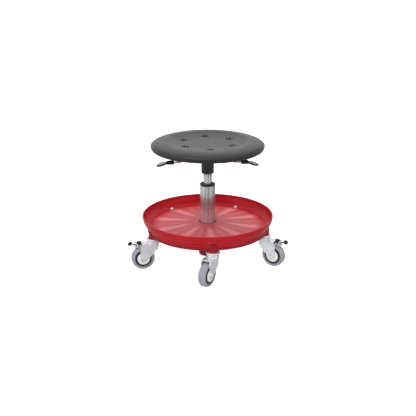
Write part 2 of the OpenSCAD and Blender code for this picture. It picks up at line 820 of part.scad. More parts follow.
module piston_rod() {
    low_z = column_z - rod_tail;
    shoulder_z = column_z + foot_t + bearing_t + seat_gap * 2;
    groove_z = column_z - clip_t - seat_gap;
    color(steel) rotate_extrude() polygon([
        [0, low_z], [rod_r, low_z], [rod_r, groove_z], [rod_r - clip_groove, groove_z],
        [rod_r - clip_groove, column_z], [rod_r, column_z], [rod_r, shoulder_z], [shoulder_r, shoulder_z],
        [shoulder_r, shoulder_z + shoulder_h], [rod_r, shoulder_z + shoulder_h], [rod_r, rod_top - piston_h],
        [cylinder_r - cylinder_wall - run_gap, rod_top - piston_h],
        [cylinder_r - cylinder_wall - run_gap, rod_top], [0, rod_top]
    ]);
}

module rod_buffer() {
    low_z = column_z + foot_t + bearing_t + shoulder_h + seat_gap * 3;
    color(black) translate([0, 0, low_z]) difference() {
        cylinder(r = buffer_r, h = buffer_h);
        translate([0, 0, -eps]) cylinder(r = rod_r + run_gap, h = buffer_h + eps * 2);
    }
}

module retaining_clip() {
    low_z = column_z - clip_t - seat_gap / 2;
    color(steel) translate([0, 0, low_z - seat_gap / 2 + run_gap]) difference() {
        cylinder(r = clip_out_r, h = clip_t - run_gap);
        translate([0, 0, -eps]) cylinder(r = rod_r - clip_groove + run_gap, h = clip_t + eps * 2);
        translate([-rod_r + clip_groove, 0, -eps]) cube([(rod_r - clip_groove) * 2, clip_out_r + eps, clip_t + eps * 2]);
    }
}

module gas_cylinder() {
    in_r = cylinder_r - cylinder_wall;
    bore_top = cone_z - ring_drop;
    ring_z = cone_z - ring_drop - ring_h;
    color(chrome) difference() {
        rotate_extrude() polygon([
            [0, cylinder_z], [cylinder_r, cylinder_z], [cylinder_r, ring_z],
            [cylinder_r + ring_out, ring_z + ring_out], [cylinder_r + ring_out, ring_z + ring_h - ring_out],
            [cylinder_r, ring_z + ring_h], [cylinder_r, cylinder_top], [0, cylinder_top]
        ]);
        // the rod's seal, the piston's bore, and the valve's bore
        translate([0, 0, cylinder_z - eps]) cylinder(r = rod_r + run_gap, h = cylinder_cap + eps * 2);
        translate([0, 0, cylinder_z + cylinder_cap]) cylinder(r = in_r, h = bore_top - cylinder_z - cylinder_cap);
        translate([0, 0, cylinder_top - pin_l - lever_r]) cylinder(r = pin_r + run_gap, h = pin_l + lever_r + eps);
    }
}

// Valve pin with a domed top, which the height lever's inner end pushes down
module valve_pin() {
    top_z = arm_z - lever_r - seat_gap;
    color(steel) translate([0, 0, top_z - pin_l]) rotate_extrude() {
        square([pin_r, pin_l - pin_r]);
        intersection() {
            translate([0, pin_l - pin_r]) circle(r = pin_r);
            square([pin_r, pin_l]);
        }
    }
}

// Mechanism, drawn with the levers along X and turned by seat_heading

module cone_cover() {
    mid_z = cone_z + cone_h * cone_straight_share;
    tip_z = pan_z - seat_gap;
    in_r = cylinder_r + socket_wall + seat_gap;
    color(black) rotate_extrude() polygon([
        [cylinder_r + free_gap, cone_z],
        each arc([cone_low_r - cone_edge_r, cone_z + cone_edge_r], cone_edge_r, 90, 0),
        [cone_low_r, mid_z], [cone_high_r, tip_z], [cone_high_r - cone_wall, tip_z],
        [in_r, mid_z], [in_r, cone_z + cone_lip], [cylinder_r + free_gap, cone_z + cone_lip]
    ]);
}

module mechanism_pan() {
    color(black) rotate([0, 0, seat_heading]) difference() {
        translate([-pan_w / 2, -pan_d / 2, pan_z]) difference() {
            cube([pan_w, pan_d, pan_h]);
            translate([pan_sheet, pan_sheet, pan_sheet]) cube([pan_w - pan_sheet * 2, pan_d - pan_sheet * 2, pan_h]);
        }
        translate([0, 0, pan_z - eps]) cylinder(r = cylinder_r + socket_wall + seat_gap, h = pan_h);
        // lever notches in the end walls
        for (side = [-1, 1]) translate([side * pan_w / 2, 0, arm_z])
            translate([-pan_sheet - eps, -notch_w / 2, -notch_w / 2]) cube([(pan_sheet + eps) * 2, notch_w, pan_h]);
        translate([0, tilt_y, tilt_z]) across(tilt_pin_r + run_gap, pan_w * 2);
    }
}

// The socket that is welded through the pan and sits on the cylinder's end
module taper_socket() {
    socket_z = pan_z - socket_down;
    color(black) translate([0, 0, socket_z]) difference() {
        cylinder(r = cylinder_r + socket_wall, h = socket_down + pan_sheet);
        translate([0, 0, -eps]) cylinder(r = cylinder_r + run_gap, h = socket_down + pan_h);
    }
}

// Upright ears on the pan's floor that hold the lever pins
module lever_brackets() {
    ear_w = (lever_r + eye_wall) * 2;
    ear_h = pan_h - pan_sheet - plate_gap;
    color(black) rotate([0, 0, seat_heading]) for (x = [-pivot_x, pivot_x], side = [-1, 1])
        translate([x, side * (eye_w / 2 + ear_t / 2 + seat_gap), pan_z + pan_sheet + seat_gap]) difference() {
            translate([-ear_w / 2, -ear_t / 2, 0]) cube([ear_w, ear_t, ear_h]);
            translate([0, 0, arm_z - pan_z - pan_sheet - seat_gap]) rotate([90, 0, 0])
                cylinder(r = pin_r + run_gap, h = ear_t * 2, center = true);
        }
}

module lever_pins() {
    color(steel) rotate([0, 0, seat_heading]) for (x = [-pivot_x, pivot_x])
        translate([x, 0, arm_z]) rotate([90, 0, 0]) cylinder(r = pin_r, h = eye_w + ear_t * 2 + eps * 2, center = true);
}

module tilt_pin() {
    color(steel) rotate([0, 0, seat_heading]) translate([0, tilt_y, tilt_z]) across(tilt_pin_r, pan_w + eps * 2);
}

// A lever's rod for the +X side, from its inner end over the pivot, down its bend and into the grip
module lever_rod(inner) {
    end_x = grip_x + grip_tail * 2;
    difference() {
        union() {
            bar([inner, arm_z], [bend_x0, arm_z], lever_r);
            bar([bend_x0, arm_z], [bend_x1, grip_z], lever_r);
            bar([bend_x1, grip_z], [end_x, grip_z], lever_r);
            translate([bend_x0, 0, arm_z]) sphere(r = lever_r + bend_swell);
            translate([bend_x1, 0, grip_z]) sphere(r = lever_r + bend_swell);
            translate([pivot_x, 0, arm_z]) rotate([90, 0, 0]) cylinder(r = lever_r + eye_wall, h = eye_w, center = true);
        }
        translate([pivot_x, 0, arm_z]) rotate([90, 0, 0]) cylinder(r = pin_r + run_gap, h = eye_w * 2, center = true);
    }
}

// The grip for the +X side: a sleeve on the rod that widens into a round, drooping paddle
module lever_grip() {
    paddle_x = lever_reach - paddle_r * cos(paddle_droop);
    neck_x = paddle_x - paddle_r;
    rod_end = grip_x + grip_tail * 2;
    difference() {
        union() {
            // sleeve with a round end
            translate([grip_x, 0, grip_z]) rotate([0, 90, 0]) rotate_extrude() {
                square([grip_r, neck_x - grip_x]);
                intersection() {
                    translate([0, neck_x - grip_x]) circle(r = grip_r);
                    square([grip_r, neck_x - grip_x + grip_r]);
                }
            }
            // neck and paddle
            translate([neck_x, 0, grip_z]) rotate([0, paddle_droop, 0]) {
                rotate([0, 90, 0]) cylinder(r1 = grip_r - grip_wall / 2, r2 = paddle_t / 3, h = paddle_r);
                translate([paddle_r, 0, 0]) rotate_extrude() {
                    translate([0, -paddle_t / 2]) square([paddle_r - paddle_t / 2, paddle_t]);
                    translate([paddle_r - paddle_t / 2, 0]) circle(r = paddle_t / 2);
                }
            }
        }
        bar([grip_x - eps, grip_z], [rod_end + seat_gap, grip_z], lever_r + run_gap);
        // thumb dish
        translate([neck_x, 0, grip_z]) rotate([0, paddle_droop, 0])
            translate([paddle_r, 0, paddle_t / 2 - paddle_dish_depth + paddle_dish_r]) sphere(r = paddle_dish_r);
    }
}

module height_lever() {
    color(zinc) rotate([0, 0, seat_heading]) lever_rod(-inner_x);
}

module height_lever_grip() {
    color(black) rotate([0, 0, seat_heading]) lever_grip();
}

module tilt_lever() {
    color(zinc) rotate([0, 0, seat_heading + 180]) lever_rod(finger_x);
}

module tilt_lever_grip() {
    color(black) rotate([0, 0, seat_heading + 180]) lever_grip();
}

module tilt_plate() {
    color(black) rotate([0, 0, seat_heading]) difference() {
        translate([-plate_w / 2, plate_front, plate_z]) cube([plate_w, plate_d, plate_t]);
        for (p = screw_places()) translate([p[0], p[1], plate_z - eps]) cylinder(r = screw_r + seat_gap, h = plate_t + eps * 2);
    }
}

// Eyes under the tilt plate that turn on the tilt pin
module tilt_brackets() {
    color(black) rotate([0, 0, seat_heading]) difference() {
        for (side = [-1, 1]) translate([side * tilt_eye_x, tilt_y, tilt_z]) {
            across(tilt_eye_r, tilt_eye_t);
            translate([-tilt_eye_t / 2, -tilt_eye_r, 0])
                cube([tilt_eye_t, tilt_eye_r * 2, plate_z - seat_gap - tilt_z]);
        }
        translate([0, tilt_y, tilt_z]) across(tilt_pin_r + run_gap, pan_w * 2);
    }
}

// Seat

function screw_places() = [for (p = [screw_front, screw_back], side = [-1, 1]) [p[0] * side, p[1]]];

module seat_board() {
    color(black) rotate([0, 0, seat_heading]) difference() {
        translate([0, 0, board_z]) cylinder(r = board_r, h = board_t);
        for (p = screw_places()) translate([p[0], p[1], board_z - eps]) cylinder(r = screw_r + run_gap, h = screw_bite + eps);
    }
}

module seat_screws() {
    color(zinc) rotate([0, 0, seat_heading]) for (p = screw_places()) translate([p[0], p[1], 0]) {
        translate([0, 0, plate_z - screw_head_h - seat_gap]) cylinder(r = screw_head_r, h = screw_head_h);
        translate([0, 0, plate_z - screw_head_h]) cylinder(r = screw_r, h = screw_head_h + plate_t + screw_bite - eps);
    }
}

module seat_section() {
    polygon(concat(
        [[0, foam_z], [belly_r, foam_z]],
        oval([seat_r - under_w, edge_z], [under_w, seat_under_h], 90, 0),
        oval([crest_r, edge_z], [seat_shoulder_w, seat_shoulder_h], -90 / arc_steps, -90),
        [for (i = [dish_steps - 1 : -1 : 0]) [crest_r * i / dish_steps, dish_z(crest_r * i / dish_steps)]]
    ));
}

// A vent group: one hole with a ring of holes round it
module vent_group() {
    cylinder(r = vent_r, h = vent_depth * 3);
    for (i = [0 : vent_holes - 1]) rotate([0, 0, i * 360 / vent_holes]) translate([0, vent_spread, 0])
        cylinder(r = vent_r, h = vent_depth * 3);
}

module seat_cushion() {
    top_z = dish_z(vent_ring_r);
    color(foam_grey) rotate([0, 0, seat_heading]) difference() {
        rotate_extrude() seat_section();
        rotate([0, 0, vent_heading]) ring_of(vent_groups, vent_ring_r) translate([0, 0, top_z - vent_depth])
            vent_group();
    }
}

tool_tray();
base();
castor_bolts();
castor_nuts();
swivel_heads();
column_tube();
guide_bush();
thrust_bearing();
piston_rod();
rod_buffer();
retaining_clip();
gas_cylinder();
valve_pin();
cone_cover();
mechanism_pan();
taper_socket();
lever_brackets();
lever_pins();
tilt_pin();
height_lever();
height_lever_grip();
tilt_lever();
tilt_lever_grip();
tilt_plate();
tilt_brackets();
seat_board();
seat_screws();
seat_cushion();
for (place = PLACES) {
    at_castor(place) castor_fork_for(place);
    at_castor(place) castor_axle();
    at_castor(place) castor_guards();
    at_castor(place) castor_rim();
    at_castor(place) castor_tyre();
}
for (place = BRAKED) {
    at_castor(place) brake_lever();
    at_castor(place) brake_pedals();
    at_castor(place) brake_pin();
}
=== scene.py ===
"""Rolling workshop stool: the finishes, the moulded seat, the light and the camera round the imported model.

Lengths are metres. Every new surface is worked out with numpy on a grid of two parameters.
"""
import json
import math

import bpy
import numpy as np
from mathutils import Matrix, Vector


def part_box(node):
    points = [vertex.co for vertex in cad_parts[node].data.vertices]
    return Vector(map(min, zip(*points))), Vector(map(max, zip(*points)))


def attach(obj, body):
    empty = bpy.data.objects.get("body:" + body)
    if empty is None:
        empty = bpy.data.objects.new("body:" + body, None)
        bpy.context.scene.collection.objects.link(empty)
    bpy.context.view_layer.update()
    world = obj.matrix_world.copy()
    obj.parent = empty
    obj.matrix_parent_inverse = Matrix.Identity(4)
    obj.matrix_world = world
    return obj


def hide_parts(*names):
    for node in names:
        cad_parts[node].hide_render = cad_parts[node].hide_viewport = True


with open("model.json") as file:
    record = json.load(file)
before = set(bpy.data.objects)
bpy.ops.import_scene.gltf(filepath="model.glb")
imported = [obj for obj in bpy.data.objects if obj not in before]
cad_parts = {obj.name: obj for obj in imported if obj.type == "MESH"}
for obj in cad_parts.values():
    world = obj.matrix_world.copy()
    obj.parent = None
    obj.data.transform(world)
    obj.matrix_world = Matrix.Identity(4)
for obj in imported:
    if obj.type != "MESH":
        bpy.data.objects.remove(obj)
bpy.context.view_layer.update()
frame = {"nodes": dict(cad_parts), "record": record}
NODES = frame["nodes"]

MM = 0.001
WHITE = (1.0, 1.0, 1.0, 1.0)

# Camera: fitted to the photograph's circles, with the column's axis a little left of the middle.
# Angles are degrees, the lens and the sensor millimetres, the shift a share of the picture's width
CAMERA_DISTANCE = 2.36856
CAMERA_HEIGHT = 1.00531
CAMERA_HEADING = 4.966
CAMERA_PITCH = 19.321
CAMERA_LENS = 66.57
CAMERA_SHIFT = (0.0009, 0.0012)
SENSOR_W = 36.0

# Seat: widths and heights fitted to the photograph's outline, on the solid's own underside
SEAT_HEADING = 1.0
SEAT_R = 181.0 * MM
SEAT_BELLY = 4.5 * MM
BELLY_R = 138 * MM
UNDER_W = 6.7 * MM
UNDER_H = 12.0 * MM
SHOULDER_W = 48 * MM
SHOULDER_H = 15.0 * MM
SHOULDER_POWER = 2.15
SEAT_DISH = 8.5 * MM
DISH_POWER = 4
LIP_RISE = 1.5 * MM
LIP_H = 1.0 * MM
LIP_W = 1.5 * MM

# How finely the seat is cut: points on each stretch of its profile, then their spacing once evened out,
# how often the profile is smoothed, its steps round the axis, and the degrees of turn that look sharp
UNDER_POINTS = 12
SHOULDER_POINTS = 24
DISH_POINTS = 60
PROFILE_STEP = 1.0 * MM
PROFILE_PASSES = 12
SEAT_SIDES = 256
SMOOTH_ANGLE = 50

# Vent holes: groups on a ring, each with a hole in its middle and a ring of holes round that.
# A shaft runs from its foot to above its mouth: share of the hole's radius, and mm over the seat's surface
VENT_RING_R = 85 * MM
VENT_GROUPS = 6
VENT_HOLES = 5
VENT_SPREAD = 9.5 * MM
VENT_R = 4.0 * MM
VENT_SHAFT = ((0.0, -12.0), (0.9, -12.0), (1.0, -1.0), (1.15, 0.4), (1.3, 3.0), (0.0, 3.0))
VENT_SIDES = 16

# Tray floor: painted highlight standing in for the floor's sheen and the flutes' reflections: an even haze of
# paler colour, with a strong band every 36 degrees and a faint one every 18 over it
BAND_COUNT = 10
BAND_STRONG = 0.45
BAND_FAINT = 0.18
BAND_START = (50 * MM, 80 * MM)
BAND_END = (157.25 * MM, 185 * MM)
BAND_TOP_Z = (134 * MM, 137 * MM)
BAND_WANDER = 0.05
BAND_WANDER_SCALE = 30.0
PAINTED_HAZE = 0.30


# Meshes

# A point nearer to the axis than this lies on it
ON_AXIS = 1e-9


def smooth(mesh):
    """Shades a mesh smooth, with a sharp edge wherever two faces turn by more than SMOOTH_ANGLE."""
    mesh.shade_smooth()
    mesh.set_sharp_from_angle(angle=math.radians(SMOOTH_ANGLE))


def mesh_object(name, vertices, faces, material):
    """A mesh object at the origin from arrays of points and faces."""
    mesh = bpy.data.meshes.new(name)
    mesh.from_pydata(np.asarray(vertices).tolist(), [], [tuple(face) for face in faces])
    mesh.update()
    mesh.materials.append(material)
    smooth(mesh)
    made = bpy.data.objects.new(name, mesh)
    bpy.context.scene.collection.objects.link(made)
    return made


def revolve(profile, count):
    """Points and faces of a profile of (distance, height) turned about Z.

    point(i, j) = (r_i cos t_j, r_i sin t_j, z_i), t_j = 2 pi j / count. An end that is on the axis closes
    in one pole.
    """
    profile = np.asarray(profile, float)
    first_pole = profile[0, 0] < ON_AXIS
    last_pole = profile[-1, 0] < ON_AXIS
    body = profile[int(first_pole):len(profile) - int(last_pole)]
    turn = 2 * np.pi * np.arange(count) / count
    points = np.stack([
        np.outer(body[:, 0], np.cos(turn)),
        np.outer(body[:, 0], np.sin(turn)),
        np.repeat(body[:, 1:2], count, axis=1)], axis=-1).reshape(-1, 3)
    i, j = np.meshgrid(np.arange(len(body) - 1), np.arange(count), indexing="ij")
    after = (j + 1) % count
    quads = np.stack([
        i * count + j, i * count + after, (i + 1) * count + after, (i + 1) * count + j], axis=-1)
    faces = quads.reshape(-1, 4).tolist()
    ring = np.arange(count)
    ring_after = (ring + 1) % count
    if first_pole:
        points = np.vstack([points, [0, 0, profile[0, 1]]])
        pole = np.full(count, len(points) - 1)
        faces += np.stack([ring_after, ring, pole], axis=-1).tolist()
    if last_pole:
        points = np.vstack([points, [0, 0, profile[-1, 1]]])
        pole = np.full(count, len(points) - 1)
        last = (len(body) - 1) * count
        faces += np.stack([last + ring, last + ring_after, pole], axis=-1).tolist()
    return points, faces


def resample(profile, step):
    """The same line with points a step apart along it."""
    run = np.concatenate([[0], np.cumsum(np.linalg.norm(np.diff(profile, axis=0), axis=1))])
    at = np.linspace(0, run[-1], int(run[-1] / step) + 2)
    return np.stack([np.interp(at, run, profile[:, k]) for k in range(2)], axis=-1)


def relaxed(profile, passes):
    """The line with each inner point moved to (before + 2 itself + after) / 4, a number of times."""
    for _ in range(passes):
        profile[1:-1] = (profile[:-2] + 2 * profile[1:-1] + profile[2:]) / 4
    return profile


def turned(points, degrees):
    """Points turned about Z."""
    c = math.cos(math.radians(degrees))
    s = math.sin(math.radians(degrees))
    return np.asarray(points) @ np.array([[c, s, 0], [-s, c, 0], [0, 0, 1]])


def apply_modifiers(piece):
    """The object's evaluated mesh becomes its own, with no modifier left."""
    graph = bpy.context.evaluated_depsgraph_get()
    mesh = bpy.data.meshes.new_from_object(piece.evaluated_get(graph))
    piece.modifiers.clear()
    piece.data = mesh


# Nodes

FLOAT = "NodeSocketFloat"
VECTOR = "NodeSocketVector"
NOISE_MIDDLE = 0.5


def node(tree, kind, inputs=None, **settings):
    """A node of a kind with its settings, and its inputs set to values or linked to other nodes' outputs."""
    made = tree.nodes.new(kind)
    for key, value in settings.items():
        setattr(made, key, value)
    for key, value in (inputs or {}).items():
        if isinstance(value, bpy.types.NodeSocket):
            tree.links.new(value, made.inputs[key])
        else:
            made.inputs[key].default_value = value
    return made


def math_node(tree, operation, *values):
    """One operation on numbers or other nodes' outputs."""
    return node(tree, "ShaderNodeMath", dict(enumerate(values)), operation=operation).outputs[0]


def plus(tree, a, b):
    """a + b"""
    return math_node(tree, "ADD", a, b)


def times(tree, first, *others):
    """The product of two or more values, from the left."""
    for value in others:
        first = math_node(tree, "MULTIPLY", first, value)
    return first


def spread(tree, value, reach, result=(0.0, 1.0), **settings):
    """A value moved from one range to another, held inside it."""
    return node(tree, "ShaderNodeMapRange", {
        "Value": value, "From Min": reach[0], "From Max": reach[1],
        "To Min": result[0], "To Max": result[1]}, **settings).outputs["Result"]


def varied(tree, level, by, amount):
    """level + amount (by - 1/2): a level that goes up and down with a noise."""
    return plus(tree, level, times(tree, math_node(tree, "SUBTRACT", by, NOISE_MIDDLE), amount))


def noise(tree, vector, scale, detail=2.0, roughness=0.5, distortion=0.0):
    """Noise from 0 to 1."""
    return node(tree, "ShaderNodeTexNoise", {
        "Vector": vector, "Scale": scale, "Detail": detail, "Roughness": roughness,
        "Distortion": distortion}).outputs["Fac"]


def mapped(tree, vector, **settings):
    """A vector turned or stretched by a Mapping node."""
    return node(tree, "ShaderNodeMapping", {"Vector": vector, **settings}).outputs["Vector"]


def vector_math(tree, operation, *values, result="Vector"):
    """One operation on vectors."""
    return node(tree, "ShaderNodeVectorMath", dict(enumerate(values)), operation=operation).outputs[result]


def split(tree, vector):
    """A vector's three parts."""
    return node(tree, "ShaderNodeSeparateXYZ", {"Vector": vector}).outputs


def heading(tree, axes):
    """The angle round Z of a direction or place: 0 to the front, pi / 2 to the right."""
    return math_node(tree, "ARCTAN2", axes["X"], times(tree, axes["Y"], -1.0))


def blend_colors(tree, factor, a, b):
    """Colour a where the factor is 0, colour b where it is 1."""
    mix = tree.nodes.new("ShaderNodeMix")
    mix.data_type = "RGBA"
    tree.links.new(factor, mix.inputs["Factor"])
    for key, value in (("A", a), ("B", b)):
        socket = next(s for s in mix.inputs if s.name == key and s.type == "RGBA")
        if isinstance(value, bpy.types.NodeSocket):
            tree.links.new(value, socket)
        else:
            socket.default_value = (*value, 1.0)
    return next(s for s in mix.outputs if s.type == "RGBA")


def scaled(color, gain, lift=0.0):
    """A colour made lighter or darker: gain times each part, plus the lift, 1 at most."""
    return tuple(min(1.0, part * gain + lift) for part in color)


# Node groups: effects that several finishes share

# A range is the part of a noise that goes from none to all. Scales are per metre, turns in radians
GRAIN_SHARE = 0.6
MOTTLE_RANGE = (0.35, 0.65)
SCUFF_TURNS = (0.5, 1.9, 2.7)
SCUFF_TWIST = 0.4
SCUFF_TILT = 0.7
SCUFF_STRETCH = (1.0, 14.0, 14.0)
SCUFF_LINE = (0.68, 0.74)
SCUFF_PATCH_SCALE = 9.0
SCUFF_PATCH = (0.42, 0.62)
ROLL_STRETCH = (0.06, 0.06, 1.0)
ROLL_SHARE = 0.06
CLOUD_SCALE = 55.0
CLOUD_RANGE = (0.35, 0.68)


def group(name, inputs, outputs):
    """An empty shader group with named sockets: its tree, its inputs, and a call that sets its outputs."""
    tree = bpy.data.node_groups.new(name, "ShaderNodeTree")
    for label, kind, value in inputs:
        socket = tree.interface.new_socket(name=label, in_out="INPUT", socket_type=kind)
        if value is not None:
            socket.default_value = value
    for label in outputs:
        tree.interface.new_socket(name=label, in_out="OUTPUT", socket_type=FLOAT)
    given = tree.nodes.new("NodeGroupInput")
    end = tree.nodes.new("NodeGroupOutput")

    def put_out(*results):
        for label, value in zip(outputs, results):
            tree.links.new(value, end.inputs[label])

    return tree, given.outputs, put_out


def moulded_skin():
    """Moulded plastic or foam: a fine pebbled height, a slow mottle, and roughness that follows it."""
    tree, given, put_out = group(
        "moulded_skin",
        [("Vector", VECTOR, None), ("Grain Scale", FLOAT, 900.0), ("Mottle Scale", FLOAT, 14.0),
         ("Roughness", FLOAT, 0.4), ("Roughness Spread", FLOAT, 0.1)],
        ["Height", "Roughness", "Mottle"])
    grain = noise(tree, given["Vector"], given["Grain Scale"], detail=2.0, roughness=0.55)
    cells = node(tree, "ShaderNodeTexVoronoi", {
        "Vector": given["Vector"], "Scale": given["Grain Scale"]}, feature="SMOOTH_F1").outputs["Distance"]
    mottle = noise(tree, given["Vector"], given["Mottle Scale"], detail=3.0, roughness=0.6)
    put_out(
        plus(tree, times(tree, grain, GRAIN_SHARE), times(tree, cells, 1 - GRAIN_SHARE)),
        varied(tree, given["Roughness"], mottle, given["Roughness Spread"]),
        spread(tree, mottle, MOTTLE_RANGE))
    return tree


def scuffs():
    """Fine scratches and rubbed spots: thin lines of stretched noise in three ways, in slow patches."""
    tree, given, put_out = group(
        "scuffs", [("Vector", VECTOR, None), ("Scale", FLOAT, 60.0), ("Amount", FLOAT, 0.3)], ["Mask"])
    mask = None
    for turn in SCUFF_TURNS:
        lean = (SCUFF_TWIST * turn, SCUFF_TILT, turn)
        way = mapped(tree, given["Vector"], Rotation=lean, Scale=SCUFF_STRETCH)
        fine = noise(tree, way, given["Scale"], detail=1.0, distortion=0.4)
        lines = spread(tree, fine, SCUFF_LINE)
        mask = lines if mask is None else math_node(tree, "MAXIMUM", mask, lines)
    patches = spread(tree, noise(tree, given["Vector"], SCUFF_PATCH_SCALE), SCUFF_PATCH)
    put_out(times(tree, mask, patches, given["Amount"]))
    return tree


def plated_sheet():
    """Zinc or chrome plate: slow ripples of pressed sheet, fine rolling lines, and cloudy patches."""
    tree, given, put_out = group(
        "plated_sheet",
        [("Vector", VECTOR, None), ("Ripple Scale", FLOAT, 40.0), ("Line Scale", FLOAT, 500.0),
         ("Roughness", FLOAT, 0.2), ("Roughness Spread", FLOAT, 0.1)],
        ["Height", "Roughness", "Cloud"])
    ripple = noise(tree, given["Vector"], given["Ripple Scale"], detail=1.0)
    lines = noise(tree, mapped(tree, given["Vector"], Scale=ROLL_STRETCH), given["Line Scale"], detail=1.0)
    cloud = noise(tree, given["Vector"], CLOUD_SCALE, detail=3.0, roughness=0.6)
    put_out(
        plus(tree, ripple, times(tree, lines, ROLL_SHARE)),
        varied(tree, given["Roughness"], cloud, given["Roughness Spread"]),
        spread(tree, cloud, CLOUD_RANGE))
    return tree


SKIN = moulded_skin()
SCUFF = scuffs()
PLATE = plated_sheet()


def use_group(tree, effect, inputs):
    """A group placed in a material: its outputs."""
    return node(tree, "ShaderNodeGroup", inputs, node_tree=effect).outputs


# Finishes

# A rubbed place: its colour against the finish's light one, and how much rougher it is
RUB_GAIN = 1.25
RUB_LIFT = 0.03
RUB_ROUGH = 0.15

# Dark upright streaks of a plated tube: noise drawn out along Z
STREAK_STRETCH = (1.0, 1.0, 0.01)
STREAK_SCALE = 130.0
STREAK_RANGE = (0.35, 0.65)


def new_material(name, **sockets):
    """A material with its Principled shader, its plain sockets set, and Object coordinates to read."""
    made = bpy.data.materials.new(name)
    made.use_nodes = True
    tree = made.node_tree
    shader = next(n for n in tree.nodes if n.type == "BSDF_PRINCIPLED")
    for key, value in sockets.items():
        shader.inputs[key.replace("_", " ")].default_value = value
    where = tree.nodes.new("ShaderNodeTexCoord").outputs["Object"]
    return made, tree, shader, where


def link_surface(tree, shader, color, rough, height, depth):
    """Feeds the shader its colour, its roughness, and a bump of a height whose full step is depth."""
    tree.links.new(color, shader.inputs["Base Color"])
    tree.links.new(rough, shader.inputs["Roughness"])
    normal = node(tree, "ShaderNodeBump", {"Height": height, "Distance": depth, "Strength": 1.0})
    tree.links.new(normal.outputs["Normal"], shader.inputs["Normal"])


def place_skin(tree, where, roughness, rough_spread, grain):
    """The outputs of the moulded skin at this finish's own scale."""
    return use_group(tree, SKIN, {
        "Vector": where, "Grain Scale": grain, "Roughness": roughness, "Roughness Spread": rough_spread})


def moulded(name, dark, light, roughness, rough_spread, grain, grain_depth, scuff=0.0, **sockets):
    """Moulded plastic, rubber or foam: two close colours in a slow mottle, fine grain, and a few scuffs."""
    made, tree, shader, where = new_material(name, **sockets)
    skin = place_skin(tree, where, roughness, rough_spread, grain)
    color = blend_colors(tree, skin["Mottle"], dark, light)
    rough = skin["Roughness"]
    if scuff:
        marks = use_group(tree, SCUFF, {"Vector": where, "Amount": scuff})["Mask"]
        color = blend_colors(tree, marks, color, scaled(light, RUB_GAIN, RUB_LIFT))
        rough = plus(tree, rough, times(tree, marks, RUB_ROUGH))
    link_surface(tree, shader, color, rough, skin["Height"], grain_depth)
    return made


def plated(name, dark, light, roughness, rough_spread, ripple_depth, ripple=40.0, streak=1.0, **sockets):
    """Plated steel: two close metal tones in clouds, roughness that follows them, ripples, upright streaks.

    streak is how much of the tone a dark streak keeps.
    """
    made, tree, shader, where = new_material(name, **{"Metallic": 1.0, **sockets})
    plate = use_group(tree, PLATE, {
        "Vector": where, "Roughness": roughness, "Roughness Spread": rough_spread, "Ripple Scale": ripple})
    color = blend_colors(tree, plate["Cloud"], dark, light)
    if streak < 1.0:
        upright = mapped(tree, where, Scale=STREAK_STRETCH)
        dull = spread(tree, noise(tree, upright, STREAK_SCALE, roughness=0.6), STREAK_RANGE)
        color = blend_colors(tree, dull, color, scaled(dark, streak))
    link_surface(tree, shader, color, plate["Roughness"], plate["Height"], ripple_depth)
    return made


def banded(name, dark, light, pale, roughness, rough_spread, grain, grain_depth, scuff, **sockets):
    """Moulded plastic with painted highlight: a haze and bands of paler colour that run out from the middle
    of a round floor, standing in for the floor's sheen and its flutes' reflections.

    Paleness = (band strength faded in at the middle + haze) faded out at the rim and above the floor, where
    band strength = strong peak(cos(n t)) + faint peak(cos(2 n t)), and t is the angle round Z.
    """
    made, tree, shader, where = new_material(name, **sockets)
    skin = place_skin(tree, where, roughness, rough_spread, grain)
    color = blend_colors(tree, skin["Mottle"], dark, light)
    marks = use_group(tree, SCUFF, {"Vector": where, "Amount": scuff})["Mask"]
    color = blend_colors(tree, marks, color, scaled(light, RUB_GAIN, RUB_LIFT))
    axes = split(tree, where)
    angle = varied(tree, heading(tree, axes), noise(tree, where, BAND_WANDER_SCALE), BAND_WANDER)
    bands = None
    for count, strength in ((BAND_COUNT, BAND_STRONG), (2 * BAND_COUNT, BAND_FAINT)):
        wave = math_node(tree, "COSINE", times(tree, angle, float(count)))
        peak = spread(tree, wave, (0.0, 1.0), (0.0, strength), interpolation_type="SMOOTHSTEP")
        bands = peak if bands is None else plus(tree, bands, peak)
    squares = [math_node(tree, "POWER", axes[key], 2.0) for key in ("X", "Y")]
    reach = math_node(tree, "SQRT", plus(tree, *squares))
    bands = times(tree, bands, spread(tree, reach, BAND_START))
    faded = times(
        tree, spread(tree, reach, BAND_END, (1.0, 0.0)), spread(tree, axes["Z"], BAND_TOP_Z, (1.0, 0.0)))
    # Painted highlight: the haze and bands lighten the floor's colour where its sheen and the flutes'
    # reflections would show
    painted_sheen = times(tree, plus(tree, bands, PAINTED_HAZE), faded)
    color = blend_colors(tree, painted_sheen, color, pale)
    rough = plus(tree, skin["Roughness"], times(tree, painted_sheen, RUB_ROUGH))
    link_surface(tree, shader, color, rough, skin["Height"], grain_depth)
    return made
